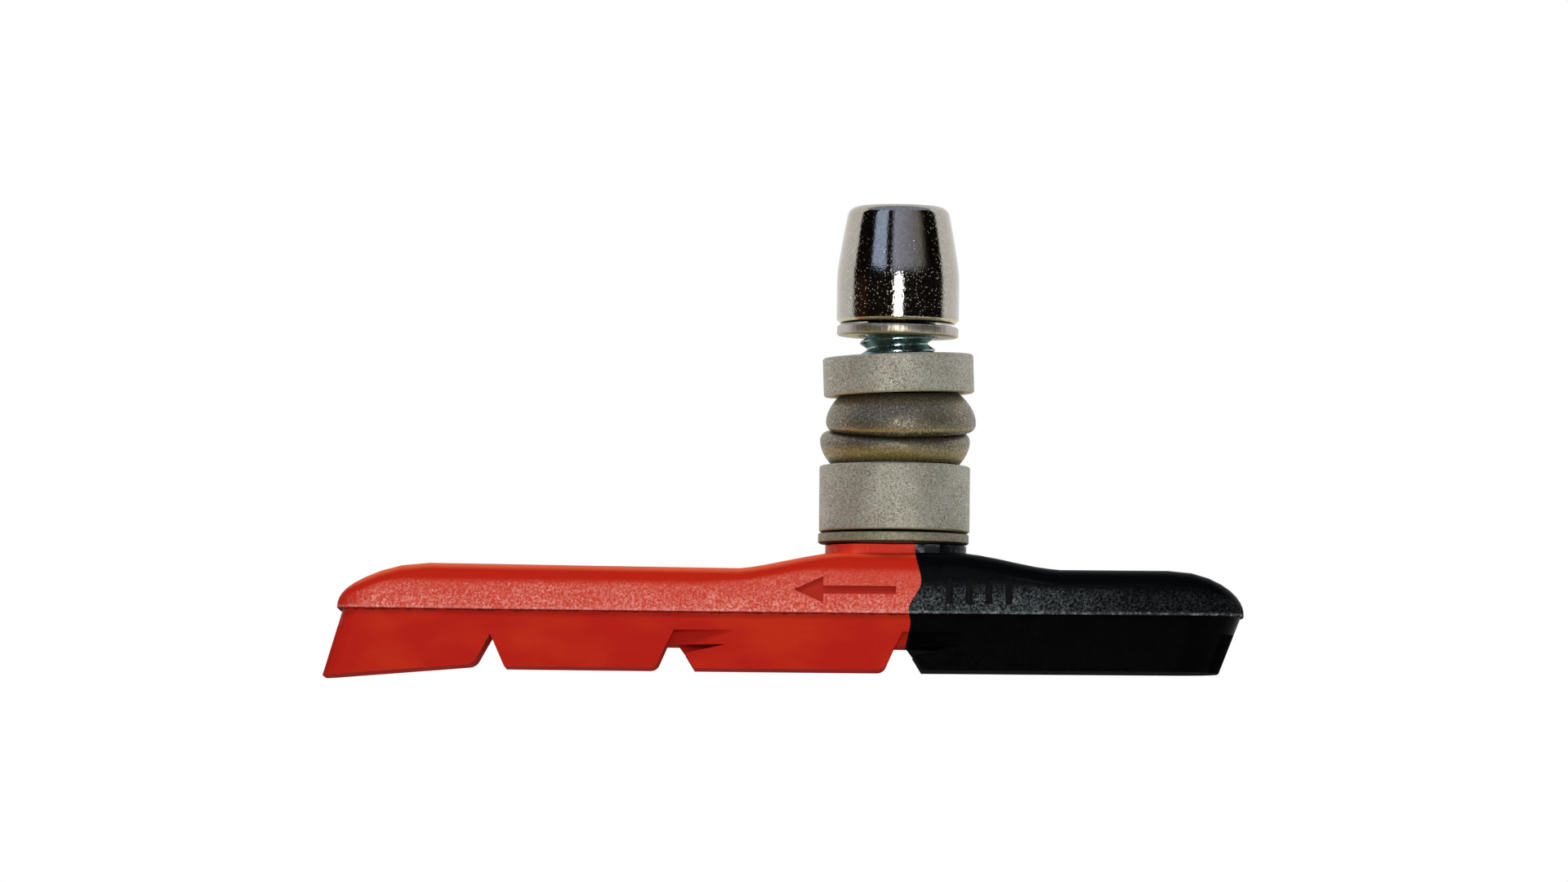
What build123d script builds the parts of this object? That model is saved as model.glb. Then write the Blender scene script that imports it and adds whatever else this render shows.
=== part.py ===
from build123d import *
import os
from math import asin, cos, degrees, radians, sin, sqrt, tan

# Bicycle rim brake pad on a threaded post, two moulded rubber compounds, with its washers and nut.
# Millimetres. +Z runs up the post, away from the rim, and +X runs along the pad to its rear end.
# The origin is where the post's axis meets the braking face.
os.makedirs("parts", exist_ok=True)

# Pad, seen from the side
FRONT_REACH = 43.8        # post axis to the front end of the upper body
TIP_LEAD = 1.1            # how far the lower tip reaches past the upper body
TIP_DROP = 0.9            # how far the tip hangs below the braking face
TIP_FACE_LIFT = 0.15      # height of the sloping tip face where it meets the first notch
REAR_REACH = 27.35        # post axis to the rear end
REAR_UNDERCUT = 1.9       # how far the braking face ends short of the rear end
SEAM_Z = 4.4              # height of the parting line
FRONT_TOP_Z = 8.22        # top of the pad behind its front nose
MID_TOP_Z = 8.04          # top of the pad in front of the hump
REAR_TOP_Z = 8.15         # top of the pad behind the hump
HUMP_Z = 9.34             # top of the hump that carries the collar
COLLAR_Z = 9.97           # top of the collar
FRONT_NOSE = 7.2          # length of the front nose's curve
REAR_NOSE = 6.05          # length of the rear nose's curve
NOSE_EDGE = 0.13          # upright edge at the foot of both noses
HUMP_MIDDLE_X = 0.3
HUMP_FOOT = 12.6          # half length of the hump at its foot
HUMP_FLAT = 4.6           # half length of the hump's flat crown

# Pad, seen from above
PAD_WIDTH = 11.2          # width at the parting line
CURVE_R = 275.0           # radius of the pad's curve, which follows the rim
CURVE_MIDDLE_X = -8.85    # where the curved pad runs parallel to X
FRONT_CORNER_R = 1.5
REAR_CORNER_R = 3.75
COLLAR_D = 11.15
COLLAR_FLATS = 8.8        # width of the collar across its two flats

# Pad, in section
UPPER_DRAFT = 4.0         # degrees, upper flank
LOWER_DRAFT = 5.0         # degrees, lower flank
ROLL_R = 1.4              # rounded upper edge
SEAM_STEP = 0.3           # overhang of the upper body along its flanks
FRONT_STEP = 0.55         # overhang at the front end
REAR_STEP = 0.15          # overhang at the rear end

# Water channels and notch in the braking face
CHANNEL_PITCH = 17.95
CHANNEL_X = -0.05         # upper front corner of the rear channel
CHANNEL_COUNT = 2
CHANNEL_DEPTH = 1.85
CHANNEL_TOP = 1.05        # width of the channel's roof
CHANNEL_FRONT_FLARE = 0.8
CHANNEL_REAR_FLARE = 1.15
UNDERCUT_LENGTH = 4.6     # reach of the thin slit behind the channel
UNDERCUT_HEIGHT = 0.69
RECESS_LENGTH = 5.2       # side recess above each channel
RECESS_HEIGHT = 1.15
RECESS_LEAN = 0.6
RECESS_DEPTH = 1.2
NOTCH_X = -31.8           # apex of the notch behind the tip
NOTCH_DEPTH = 2.5
NOTCH_FRONT_HALF = 1.3
NOTCH_REAR_HALF = 1.1

# Wavy joint between the two compounds, in x and z from the rim side up
JOINT_LINE = [(0.7, -0.5), (0.75, 1.5), (1.05, 3.0), (1.15, 3.9), (1.0, 4.6), (1.4, 5.7), (1.95, 6.8),
              (1.8, 8.0), (1.66, 10.5)]

# Marks sunk in the near flank
MARK_DEPTH = 0.28
MARK_Z = 6.25
ARROW_X = -4.0
ARROW_LENGTH = 8.0
ARROW_HEAD = 2.3
ARROW_SHAFT = 0.62
MARK_HEIGHT = 2.1
TICK_X = 4.2
TICK_PITCH = 1.55
TICK_COUNT = 4
TICK_WIDTH = 0.55

# Moulded-in steel
PLATE_WIDTH = 7.4
PLATE_THICK = 1.5
PLATE_Z = 5.25            # underside of the backing plate
PLATE_END_MARGIN = 4.2    # rubber between the plate's ends and the pad's ends
POST_D = 6.0
POST_IN_NUT = 4.33        # how far the post reaches into the nut
POST_HEAD_D = 9.0
POST_HEAD_THICK = 1.2
POST_CHAMFER = 0.5

# Washers
WASHER_D = 11.9           # outside of the flat washer and both cups
BASE_THICK = 0.97
BASE_BORE = 6.6
BASE_OFFSET_X = -0.19
LOWER_CUP_HEIGHT = 5.25
LOWER_CUP_BORE = 6.6
LOWER_CUP_OFFSET_X = -0.13
UPPER_CUP_HEIGHT = 3.05
UPPER_CUP_BORE = 7.1
UPPER_CUP_OFFSET_X = 0.10
UPPER_CUP_LEAN_X = 1.6    # degrees about X, near side down
UPPER_CUP_LEAN_Y = -2.2   # degrees about Y, front side down
CUP_RIM_R = 5.12          # radius where the hollow seat meets the cup's rim
CUP_EDGE = 0.22
SEAT_GAP = 0.15           # lower dome to its seat
UPPER_SEAT_GAP = 0.26     # upper dome to its seat
DOME_SPHERE_R = 7.0
DOME_DEPTH = 4.777        # ball's pole to the flat face
DOME_D = 11.85
DOME_BORE = 8.4
DOME_ROLL_R = 0.72        # round edge at the flat face
DOME_BALL_EDGE_R = 4.95   # radius where the ball runs out into the rim
DOME_LEAN = 7.0           # degrees about X, near side down
DOME_GAP = 0.02
UPPER_DOME_OFFSET_X = 0.32

# Nut and its washer
NUT_WASHER_D = 9.6
NUT_WASHER_THICK = 0.82
NUT_WASHER_BORE = 6.5
NUT_WASHER_LEAN = 0.8     # degrees about Y
NUT_WASHER_ABOVE_CUP = 1.55
NUT_GAP = 0.18            # washer to nut
NUT_D = 9.7
NUT_HEIGHT = 9.32
NUT_STRAIGHT = 3.9        # height of the nut's straight lower part
NUT_TOP_D = 7.8           # taper's width at the top, before its corner is rounded
NUT_TAPER_BULGE = 0.05
NUT_SOFT = 0.85           # half length of the soft turn from the straight part into the taper
NUT_CORNER_R = 0.9
NUT_FOOT_CHAMFER = 0.3
HEX_ACROSS = 5.0
HEX_DEPTH = 4.0
THREAD_CLEARANCE = 0.05   # post to nut, each side

# Values that follow from the sizes above
BASE_TOP_Z = COLLAR_Z + BASE_THICK
LOWER_CUP_TOP_Z = BASE_TOP_Z + LOWER_CUP_HEIGHT
LOWER_SEAT_R = DOME_SPHERE_R + SEAT_GAP
LOWER_CENTRE_Z = LOWER_CUP_TOP_Z + sqrt(LOWER_SEAT_R**2 - CUP_RIM_R**2)
DOME_FLAT_OFF = DOME_SPHERE_R - DOME_DEPTH
MEETING_Z = LOWER_CENTRE_Z - DOME_FLAT_OFF / cos(radians(DOME_LEAN))
UPPER_CENTRE_Z = MEETING_Z + DOME_GAP - DOME_FLAT_OFF / cos(radians(DOME_LEAN))
UPPER_SEAT_R = DOME_SPHERE_R + UPPER_SEAT_GAP
UPPER_CUP_Z = UPPER_CENTRE_Z + sqrt(UPPER_SEAT_R**2 - CUP_RIM_R**2)
NUT_WASHER_Z = UPPER_CUP_Z + UPPER_CUP_HEIGHT + NUT_WASHER_ABOVE_CUP
NUT_Z = NUT_WASHER_Z + NUT_WASHER_THICK + NUT_GAP
POST_TOP_Z = NUT_Z + POST_IN_NUT
HALF_WIDTH = PAD_WIDTH / 2
CURVE_CENTRE_Y = -sqrt(CURVE_R**2 - CURVE_MIDDLE_X**2)
TIP_REACH = FRONT_REACH + TIP_LEAD
REAR_FACE_REACH = REAR_REACH - REAR_UNDERCUT
NOSE_TURNS = (0, 6, 12, 19, 27, 36, 46, 58, 72, 90)
RAMP_STEPS = (1.0, 0.89, 0.75, 0.56, 0.37, 0.18, 0.06, 0.0)
SEAM_OVERLAP = 0.2        # how far the lower body reaches up inside the upper one
CUT_REACH = 2 * PAD_WIDTH
FLOOR_CUT_Z = -3.0        # cutters for the braking face start below it


def curve_y(x):
    """Y of the pad's curved middle line at x."""
    return sqrt(CURVE_R**2 - (x - CURVE_MIDDLE_X) ** 2) + CURVE_CENTRE_Y


def curve_angle(x):
    """Angle in degrees between X and the middle line at x, seen from above."""
    return -degrees(asin((x - CURVE_MIDDLE_X) / CURVE_R))


def side_prism(points, near=-CUT_REACH, far=CUT_REACH):
    """Solid with the outline given in X and Z, reaching from y = near to y = far."""
    outline = make_face(Polyline(*[(x, near, z) for x, z in points], close=True))
    return extrude(outline, amount=far - near, dir=(0, 1, 0))


def curved_bar(section, front_x, rear_x):
    """Bar along the pad's curve, its section given as distances from the middle line and heights."""
    start = curve_angle(front_x)
    outline = make_face(Polyline(*[(0, CURVE_R + y, z) for y, z in section], close=True))
    turned = Rot(0, 0, start) * outline
    bar = revolve(turned, axis=Axis.Z, revolution_arc=curve_angle(rear_x) - start)
    return Pos(CURVE_MIDDLE_X, CURVE_CENTRE_Y, 0) * bar


def ramp(distance):
    """Share of the hump's height at a distance from its middle, with rounded foot and shoulder."""
    t = (HUMP_FOOT - distance) / (HUMP_FOOT - HUMP_FLAT)
    t = min(max(t, 0.0), 1.0)
    return 0.5 * t + 0.5 * t * t * (3 - 2 * t)


def plain_top(x):
    """Height of the pad's top at x, without its noses."""
    front_flat = -FRONT_REACH + FRONT_NOSE
    foot = HUMP_MIDDLE_X - HUMP_FOOT
    if x < HUMP_MIDDLE_X:
        along = min(max((x - front_flat) / (foot - front_flat), 0.0), 1.0)
        base = FRONT_TOP_Z + (MID_TOP_Z - FRONT_TOP_Z) * along
    else:
        base = REAR_TOP_Z
    return base + (HUMP_Z - base) * ramp(abs(x - HUMP_MIDDLE_X))


def upper_section(x, top_z, half_width):
    """Cross-section of the upper body at x: a drafted flank each side with a rounded upper edge."""
    lean = radians(UPPER_DRAFT)
    roll = min(ROLL_R, 0.55 * (top_z - SEAM_Z))
    mid_y = curve_y(x)
    centre_z = top_z - roll
    centre_y = half_width - (centre_z - SEAM_Z) * tan(lean) - roll / cos(lean)
    side = (centre_y + roll * cos(lean), centre_z + roll * sin(lean))
    bow_angle = (lean + radians(90)) / 2
    bow = (centre_y + roll * cos(bow_angle), centre_z + roll * sin(bow_angle))

    def at(point, sign):
        return (x, mid_y + sign * point[0], point[1])

    crown = (centre_y, top_z)
    base = (half_width, SEAM_Z)
    return Wire([
        Line(at(base, -1), at(base, 1)),
        Line(at(base, 1), at(side, 1)),
        ThreePointArc(at(side, 1), at(bow, 1), at(crown, 1)),
        Line(at(crown, 1), at(crown, -1)),
        ThreePointArc(at(crown, -1), at(bow, -1), at(side, -1)),
        Line(at(side, -1), at(base, -1)),
    ])


def corner_inset(distance, radius):
    """How far a plan corner of the given radius pulls the flank in, at a distance from the end."""
    if distance >= radius:
        return 0.0
    return radius - sqrt(radius**2 - (radius - distance) ** 2)


def nose_sections(end_x, length, flat_z, corner_r, towards):
    """Sections of a rounded nose from its end inwards. towards is +1 when the pad lies at greater x."""
    sections = []
    for turn in NOSE_TURNS:
        distance = length * (1 - cos(radians(turn)))
        foot_z = SEAM_Z + NOSE_EDGE
        top_z = foot_z + (flat_z - foot_z) * sin(radians(turn))
        half = HALF_WIDTH - corner_inset(distance, corner_r)
        sections.append((end_x + towards * distance, top_z, half))
    return sections


def upper_body():
    """Upper body, lofted over its rounded noses and the hump and level at the parting line."""
    stations = nose_sections(-FRONT_REACH, FRONT_NOSE, FRONT_TOP_Z, FRONT_CORNER_R, 1)
    ramp_reach = [HUMP_FLAT + (HUMP_FOOT - HUMP_FLAT) * share for share in RAMP_STEPS]
    front_steps = [HUMP_MIDDLE_X - reach for reach in ramp_reach]
    rear_steps = [HUMP_MIDDLE_X + reach for reach in reversed(ramp_reach)]
    flat_start = -FRONT_REACH + FRONT_NOSE
    flat = [flat_start + (front_steps[0] - flat_start) * share for share in (0.25, 0.5, 0.75)]
    for x in flat + front_steps + [HUMP_MIDDLE_X] + rear_steps:
        stations.append((x, plain_top(x), HALF_WIDTH))
    rear = nose_sections(REAR_REACH, REAR_NOSE, REAR_TOP_Z, REAR_CORNER_R, -1)
    stations += reversed(rear)
    return Solid.make_loft([upper_section(*station) for station in stations], True)


def lower_body():
    """Lower body: a drafted curved bar, trimmed to its side outline, with rounded ends."""
    top_z = SEAM_Z + SEAM_OVERLAP
    lean = tan(radians(LOWER_DRAFT))
    seam_half = HALF_WIDTH - SEAM_STEP
    top_half = seam_half + SEAM_OVERLAP * lean
    foot_half = seam_half - (SEAM_Z - FLOOR_CUT_Z) * lean
    section = [(-foot_half, FLOOR_CUT_Z), (foot_half, FLOOR_CUT_Z), (top_half, top_z), (-top_half, top_z)]
    bar = curved_bar(section, -TIP_REACH - 3, REAR_REACH + 3)
    front_top = -FRONT_REACH + FRONT_STEP
    rear_top = REAR_REACH - REAR_STEP
    outline = [
        (front_top, top_z),
        (-TIP_REACH, -TIP_DROP),
        (NOTCH_X - NOTCH_FRONT_HALF, TIP_FACE_LIFT),
        (NOTCH_X, 0),
        (REAR_FACE_REACH, 0),
        (rear_top, top_z),
    ]
    body = bar & side_prism(outline)
    tall = SEAM_Z - SEAM_OVERLAP
    front_edges = body.edges().filter_by(
        lambda e: e.bounding_box().size.Z > tall and e.center().X < -FRONT_REACH / 2)
    body = fillet(front_edges, FRONT_CORNER_R - SEAM_STEP)
    rear_edges = body.edges().filter_by(
        lambda e: e.bounding_box().size.Z > tall and e.center().X > REAR_REACH / 2)
    return fillet(rear_edges, REAR_CORNER_R - SEAM_STEP)


def collar():
    """Round collar under the washers, with a flat along each flank of the pad."""
    foot_z = SEAM_Z + 1
    height = COLLAR_Z - foot_z
    disc = Pos(0, 0, foot_z + height / 2) * Cylinder(COLLAR_D / 2, height)
    return disc & Box(2 * COLLAR_D, COLLAR_FLATS, 4 * COLLAR_Z)


def channel_cutter(x):
    """Water channel right across the pad: sloping walls and a thin slit behind its roof."""
    roof = CHANNEL_DEPTH
    rear_wall_x = x + CHANNEL_TOP + CHANNEL_REAR_FLARE
    front_mouth_x = x - CHANNEL_FRONT_FLARE
    slit_foot = roof - UNDERCUT_HEIGHT
    slit_foot_x = x + CHANNEL_TOP + CHANNEL_REAR_FLARE * UNDERCUT_HEIGHT / roof
    below = FLOOR_CUT_Z / roof
    return side_prism([
        (x, roof),
        (x + CHANNEL_TOP, roof),
        (x + UNDERCUT_LENGTH, roof + 0.02),
        (slit_foot_x, slit_foot),
        (rear_wall_x - CHANNEL_REAR_FLARE * below, FLOOR_CUT_Z),
        (front_mouth_x + CHANNEL_FRONT_FLARE * below, FLOOR_CUT_Z),
    ])


def recess_cutters(x):
    """Shallow recess in each flank above a channel, deepest at its front and running out behind."""
    roof = CHANNEL_DEPTH
    top = roof + RECESS_HEIGHT
    face = side_prism([
        (x, roof - 0.05),
        (x + RECESS_LENGTH, roof - 0.05),
        (x + RECESS_LENGTH, top),
        (x + RECESS_LEAN, top),
    ])
    level = roof + RECESS_HEIGHT / 2
    flank = HALF_WIDTH - SEAM_STEP - (SEAM_Z - level) * tan(radians(LOWER_DRAFT))
    cutters = []
    for side in (-1, 1):
        front_y = curve_y(x) + side * (flank - RECESS_DEPTH)
        rear_y = curve_y(x + RECESS_LENGTH) + side * flank
        plan = Polyline(
            (x, front_y, 0), (x + RECESS_LENGTH, rear_y, 0),
            (x + RECESS_LENGTH, side * CUT_REACH, 0), (x, side * CUT_REACH, 0), close=True)
        cutters.append(face & extrude(make_face(plan), amount=2 * SEAM_Z, dir=(0, 0, 1)))
    return cutters


def notch_cutter():
    """V-shaped notch behind the tip block, right across the pad."""
    front_slope = NOTCH_FRONT_HALF / (NOTCH_DEPTH - TIP_FACE_LIFT)
    rear_slope = NOTCH_REAR_HALF / NOTCH_DEPTH
    drop = NOTCH_DEPTH - FLOOR_CUT_Z
    return side_prism([
        (NOTCH_X, NOTCH_DEPTH),
        (NOTCH_X + rear_slope * drop, FLOOR_CUT_Z),
        (NOTCH_X - front_slope * drop, FLOOR_CUT_Z),
    ])


def flank_plane(x, z):
    """Plane on the near upper flank at x and z, facing out of the pad."""
    lean = radians(UPPER_DRAFT)
    turn = radians(curve_angle(x))
    half = HALF_WIDTH - (z - SEAM_Z) * tan(lean)
    out = (sin(turn) * cos(lean), -cos(turn) * cos(lean), sin(lean))
    return Plane(origin=(x, curve_y(x) - half, z), x_dir=(cos(turn), sin(turn), 0), z_dir=out)


def sunk_mark(outline, x):
    """Cutter for a mark sunk in the near flank, its outline given about the point at x."""
    place = flank_plane(x, MARK_Z)
    shape = place * make_face(Polyline(*outline, close=True))
    return extrude(shape, amount=1.0, dir=place.z_dir) + extrude(shape, amount=-MARK_DEPTH, dir=place.z_dir)


def mark_cutters():
    """Plain arrow on the front compound and a row of plain ticks on the rear one."""
    half = ARROW_LENGTH / 2
    arrow = [
        (-half, 0), (-half + ARROW_HEAD, -MARK_HEIGHT / 2), (-half + ARROW_HEAD, -ARROW_SHAFT / 2),
        (half, -ARROW_SHAFT / 2), (half, ARROW_SHAFT / 2), (-half + ARROW_HEAD, ARROW_SHAFT / 2),
        (-half + ARROW_HEAD, MARK_HEIGHT / 2),
    ]
    cutters = [sunk_mark(arrow, ARROW_X)]
    tick_half = TICK_WIDTH / 2
    high = MARK_HEIGHT / 2
    tick = [(-tick_half, -high), (tick_half, -high), (tick_half, high), (-tick_half, high)]
    for number in range(TICK_COUNT):
        cutters.append(sunk_mark(tick, TICK_X + number * TICK_PITCH))
    return cutters


def backing_plate():
    """Curved steel strip moulded into the upper body, with a hole for the post."""
    half = PLATE_WIDTH / 2
    top_z = PLATE_Z + PLATE_THICK
    section = [(-half, PLATE_Z), (half, PLATE_Z), (half, top_z), (-half, top_z)]
    strip = curved_bar(section, -FRONT_REACH + PLATE_END_MARGIN, REAR_REACH - PLATE_END_MARGIN)
    strip = fillet(strip.edges().filter_by(Axis.Z), 0.4 * PLATE_WIDTH)
    hole = Pos(0, 0, PLATE_Z) * Cylinder(POST_D / 2, 4 * PLATE_THICK)
    return strip - hole


def threaded_stud():
    """Post with its moulded-in head under the backing plate. Its thread is left off."""
    head_z = PLATE_Z - POST_HEAD_THICK
    head = Pos(0, 0, head_z + POST_HEAD_THICK / 2) * Cylinder(POST_HEAD_D / 2, POST_HEAD_THICK)
    length = POST_TOP_Z - head_z
    shank = Pos(0, 0, head_z + length / 2) * Cylinder(POST_D / 2, length)
    tip = shank.edges().filter_by(GeomType.CIRCLE).sort_by(Axis.Z)[-1]
    return head + chamfer(tip, POST_CHAMFER)


def compound_joint():
    """Front side of the wavy joint between the two compounds."""
    joint = Spline(*[(x, -CUT_REACH, z) for x, z in JOINT_LINE])
    far_x = -2 * FRONT_REACH
    start = joint @ 0
    end = joint @ 1
    border = Polyline(
        end, (end.X, -CUT_REACH, 2 * COLLAR_Z), (far_x, -CUT_REACH, 2 * COLLAR_Z),
        (far_x, -CUT_REACH, 2 * FLOOR_CUT_Z), (start.X, -CUT_REACH, 2 * FLOOR_CUT_Z), start)
    face = make_face([joint] + list(border.edges()))
    return extrude(face, amount=2 * CUT_REACH, dir=(0, 1, 0))


def pad_compounds(plate, stud):
    """The moulded pad around its plate and post, split into its front and rear compounds."""
    pad = upper_body() + lower_body() + collar()
    for x in [CHANNEL_X - CHANNEL_PITCH * n for n in range(CHANNEL_COUNT)]:
        pad -= channel_cutter(x)
        for cutter in recess_cutters(x):
            pad -= cutter
    pad -= notch_cutter()
    for cutter in mark_cutters():
        pad -= cutter
    pad = pad - plate - stud
    front_zone = compound_joint()
    return pad & front_zone, pad - front_zone


def ring(outer_d, bore_d, height, edge):
    """Flat washer standing on z = 0, with broken outer edges."""
    disc = Pos(0, 0, height / 2) * Cylinder(outer_d / 2, height)
    disc = chamfer(disc.edges().filter_by(GeomType.CIRCLE), edge)
    return disc - Cylinder(bore_d / 2, 4 * height)


def base_washer():
    """Flat washer on the pad's collar."""
    return Pos(BASE_OFFSET_X, 0, COLLAR_Z) * ring(WASHER_D, BASE_BORE, BASE_THICK, 0.15)


def cup(height, bore_d, seat_r):
    """Cup washer standing on z = 0 with its hollow ball seat in the upper face."""
    blank = ring(WASHER_D, bore_d, height, CUP_EDGE)
    centre_z = height + sqrt(seat_r**2 - CUP_RIM_R**2)
    return blank - Pos(0, 0, centre_z) * Sphere(seat_r)


def lower_cup_washer():
    """Tall cup washer, seat upwards."""
    place = Pos(LOWER_CUP_OFFSET_X, 0, BASE_TOP_Z)
    return place * cup(LOWER_CUP_HEIGHT, LOWER_CUP_BORE, LOWER_SEAT_R)


def upper_cup_washer():
    """Low cup washer, seat downwards, lying slightly askew on its dome."""
    turned = Pos(0, 0, UPPER_CUP_HEIGHT) * Rot(180, 0, 0) * cup(UPPER_CUP_HEIGHT, UPPER_CUP_BORE, UPPER_SEAT_R)
    half = UPPER_CUP_HEIGHT / 2
    askew = Rot(UPPER_CUP_LEAN_X, UPPER_CUP_LEAN_Y, 0) * Pos(0, 0, -half) * turned
    return Pos(UPPER_CUP_OFFSET_X, 0, UPPER_CUP_Z + half) * askew


def dome():
    """Dome washer about its ball's centre: ball downwards, flat face up, full round rim."""
    def ball_z(r):
        return -sqrt(DOME_SPHERE_R**2 - r**2)

    bore_r = DOME_BORE / 2
    rim_r = DOME_D / 2
    flat_z = -DOME_FLAT_OFF
    widest_z = flat_z - DOME_ROLL_R
    ball_start = (bore_r, 0, ball_z(bore_r))
    ball_end = (DOME_BALL_EDGE_R, 0, ball_z(DOME_BALL_EDGE_R))
    middle_r = (bore_r + DOME_BALL_EDGE_R) / 2
    ball_slope = (-ball_z(DOME_BALL_EDGE_R), 0, DOME_BALL_EDGE_R)
    roll_middle = (rim_r - DOME_ROLL_R + DOME_ROLL_R * cos(radians(45)), 0,
                   widest_z + DOME_ROLL_R * sin(radians(45)))
    outline = Wire([
        ThreePointArc(ball_start, (middle_r, 0, ball_z(middle_r)), ball_end),
        Spline(ball_end, (rim_r, 0, widest_z), tangents=[ball_slope, (0, 0, 1)]),
        ThreePointArc((rim_r, 0, widest_z), roll_middle, (rim_r - DOME_ROLL_R, 0, flat_z)),
        Line((rim_r - DOME_ROLL_R, 0, flat_z), (bore_r, 0, flat_z)),
        Line((bore_r, 0, flat_z), ball_start),
    ])
    return revolve(make_face(outline), axis=Axis.Z, revolution_arc=360)


def lower_dome_washer():
    """Dome washer in the lower cup, tipped towards the near side about the ball's centre."""
    return Pos(LOWER_CUP_OFFSET_X, 0, LOWER_CENTRE_Z) * Rot(DOME_LEAN, 0, 0) * dome()


def upper_dome_washer():
    """Same washer turned over, its flat face parallel to the lower one's."""
    return Pos(UPPER_DOME_OFFSET_X, 0, UPPER_CENTRE_Z) * Rot(DOME_LEAN, 0, 0) * Rot(180, 0, 0) * dome()


def nut_washer():
    """Small washer under the nut, hanging slightly askew on the post."""
    half = NUT_WASHER_THICK / 2
    disc = Pos(0, 0, -half) * ring(NUT_WASHER_D, NUT_WASHER_BORE, NUT_WASHER_THICK, 0.2)
    return Pos(0, 0, NUT_WASHER_Z + half) * Rot(0, NUT_WASHER_LEAN, 0) * disc


def nut_radius(z):
    """Radius of the nut's taper at a height above its foot."""
    along = (z - NUT_STRAIGHT) / (NUT_HEIGHT - NUT_STRAIGHT)
    return NUT_D / 2 - (NUT_D - NUT_TOP_D) / 2 * along + 4 * NUT_TAPER_BULGE * along * (1 - along)


def cap_nut():
    """Sleeve-like nut with a bulging taper, a threaded bore below and a hexagon socket above."""
    foot_r = NUT_D / 2
    top_r = NUT_TOP_D / 2
    foot_inner = (foot_r - NUT_FOOT_CHAMFER, 0, 0)
    foot_outer = (foot_r, 0, NUT_FOOT_CHAMFER)
    turn_start = (foot_r, 0, NUT_STRAIGHT - NUT_SOFT)
    turn_end_z = NUT_STRAIGHT + NUT_SOFT
    turn_end = (nut_radius(turn_end_z), 0, turn_end_z)
    middle_z = (turn_end_z + NUT_HEIGHT) / 2
    outline = Wire([
        Line((0, 0, 0), foot_inner),
        Line(foot_inner, foot_outer),
        Line(foot_outer, turn_start),
        TangentArc(turn_start, turn_end, tangent=(0, 0, 1)),
        ThreePointArc(turn_end, (nut_radius(middle_z), 0, middle_z), (top_r, 0, NUT_HEIGHT)),
        Line((top_r, 0, NUT_HEIGHT), (0, 0, NUT_HEIGHT)),
        Line((0, 0, NUT_HEIGHT), (0, 0, 0)),
    ])
    body = revolve(make_face(outline), axis=Axis.Z, revolution_arc=360)
    rounds = body.edges().filter_by(GeomType.CIRCLE).sort_by(Axis.Z)
    body = fillet(rounds[-1], NUT_CORNER_R)
    socket_z = NUT_HEIGHT - HEX_DEPTH
    bore = Pos(0, 0, socket_z / 2) * Cylinder(POST_D / 2 + THREAD_CLEARANCE, socket_z)
    hexagon = RegularPolygon(HEX_ACROSS / 2, 6, major_radius=False)
    socket = Pos(0, 0, socket_z) * extrude(hexagon, amount=2 * HEX_DEPTH)
    return Pos(0, 0, NUT_Z) * (body - bore - socket)


plate = backing_plate()
stud = threaded_stud()
front_compound, rear_compound = pad_compounds(plate, stud)

export_step(front_compound, "parts/pad_front_compound.step")
export_step(rear_compound, "parts/pad_rear_compound.step")
export_step(plate, "parts/backing_plate.step")
export_step(stud, "parts/threaded_stud.step")
export_step(base_washer(), "parts/base_washer.step")
export_step(lower_cup_washer(), "parts/lower_cup_washer.step")
export_step(lower_dome_washer(), "parts/lower_dome_washer.step")
export_step(upper_dome_washer(), "parts/upper_dome_washer.step")
export_step(upper_cup_washer(), "parts/upper_cup_washer.step")
export_step(nut_washer(), "parts/nut_washer.step")
export_step(cap_nut(), "parts/cap_nut.step")
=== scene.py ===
import math
from functools import partial

import bpy
from mathutils import Matrix, Vector


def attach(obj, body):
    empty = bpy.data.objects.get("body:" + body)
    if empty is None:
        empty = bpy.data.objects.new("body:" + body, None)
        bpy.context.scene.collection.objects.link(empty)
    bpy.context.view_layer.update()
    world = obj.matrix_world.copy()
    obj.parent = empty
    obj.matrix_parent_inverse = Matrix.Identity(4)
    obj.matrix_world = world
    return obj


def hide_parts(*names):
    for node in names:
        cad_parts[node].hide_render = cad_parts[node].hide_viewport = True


# Bicycle rim brake pad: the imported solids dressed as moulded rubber, turned steel and plated steel.
# Lengths below are millimetres and become metres through MM. +Z runs up the post, +X along the pad.
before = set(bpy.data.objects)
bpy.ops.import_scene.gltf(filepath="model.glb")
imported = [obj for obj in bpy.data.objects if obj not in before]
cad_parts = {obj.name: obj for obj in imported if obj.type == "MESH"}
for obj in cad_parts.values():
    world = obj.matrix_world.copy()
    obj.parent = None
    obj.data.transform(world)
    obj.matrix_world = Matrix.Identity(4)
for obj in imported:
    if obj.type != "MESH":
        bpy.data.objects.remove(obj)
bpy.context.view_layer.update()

MM = 0.001
# vertices closer than this, in metres, are the same one
DOUBLES, SOLID_DOUBLES = 1e-7, 1.5e-6


def rest():
    """Leaves edit mode and deselects everything."""
    if bpy.context.object and bpy.context.object.mode != "OBJECT":
        bpy.ops.object.mode_set(mode="OBJECT")
    bpy.ops.object.select_all(action="DESELECT")


def take(piece):
    """Makes one object the only selected and the active one."""
    rest()
    piece.select_set(True)
    bpy.context.view_layer.objects.active = piece
    return piece


def edit_all(piece):
    """Opens a piece in edit mode with all of its mesh selected."""
    take(piece)
    bpy.ops.object.mode_set(mode="EDIT")
    bpy.ops.mesh.select_all(action="SELECT")


def added(name):
    """Names the primitive just added and puts its place into its mesh."""
    piece = bpy.context.object
    piece.name = name
    bpy.ops.object.transform_apply(location=True, rotation=True, scale=True)
    return piece


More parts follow.
